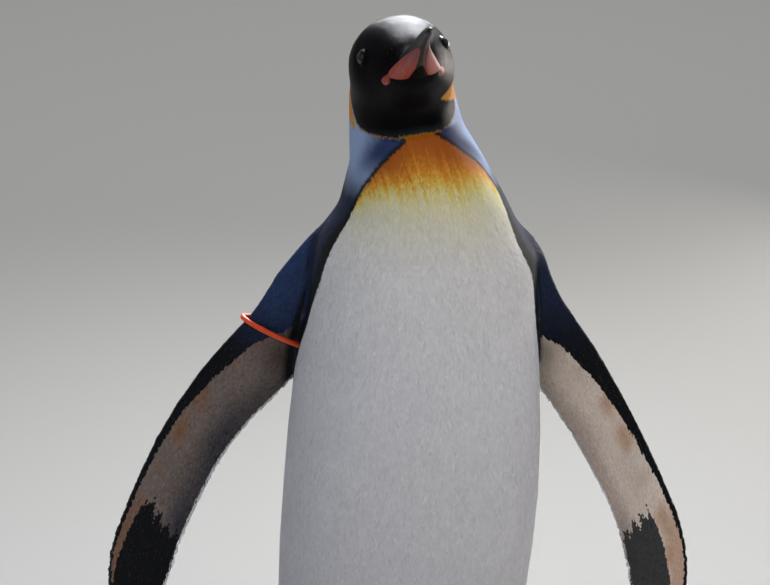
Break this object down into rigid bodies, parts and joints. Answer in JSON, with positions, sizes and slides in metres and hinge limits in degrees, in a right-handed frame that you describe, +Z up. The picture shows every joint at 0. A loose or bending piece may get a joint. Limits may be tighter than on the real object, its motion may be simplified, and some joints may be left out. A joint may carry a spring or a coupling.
{
  "type": "king penguin",
  "caption": "Life-size standing king penguin with raised bill, flippers held out from the body, and a ring round one upper flipper.",
  "frame": {"origin": "On the floor, under the middle of the whole outline, between the feet.", "axes": "+Z is up through the head; the bird faces -Y and its left side is +X."},
  "size_m": [0.6002, 0.3377, 0.9179],
  "materials": {
    "coat_head": "glossy black feathers with an orange ear patch",
    "coat_neck": "silver-blue feathers, orange at the throat",
    "coat_body": "satin white belly, slate back",
    "coat_tail": "stiff dark vanes",
    "coat_flipper": "black and pinkish-grey scale-like feathers",
    "coat_leg": "short white and slate feathers",
    "bill_horn": "smooth dark horn",
    "bill_plate": "smooth pinkish orange",
    "eye": "wet brown",
    "foot_skin": "scaly, dark, matt",
    "claw": "smooth horn",
    "band": "satin"
  },
  "bodies": {
    "root": {"head": "coat_head", "neck": "coat_neck", "trunk": "coat_body", "bill_upper": "bill_horn", "bill_lower": "bill_horn", "tail": "coat_tail", "eye_left": "eye", "bill_plate_left": "bill_plate", "flipper_left": "coat_flipper", "leg_left": "coat_leg", "foot_left": "foot_skin", "claw_left_inner": "claw", "claw_left_middle": "claw", "claw_left_outer": "claw", "claw_left_hind": "claw", "eye_right": "eye", "bill_plate_right": "bill_plate", "flipper_right": "coat_flipper", "leg_right": "coat_leg", "foot_right": "foot_skin", "claw_right_inner": "claw", "claw_right_middle": "claw", "claw_right_outer": "claw", "claw_right_hind": "claw", "flipper_band": "band"}
  },
  "joints": []
}
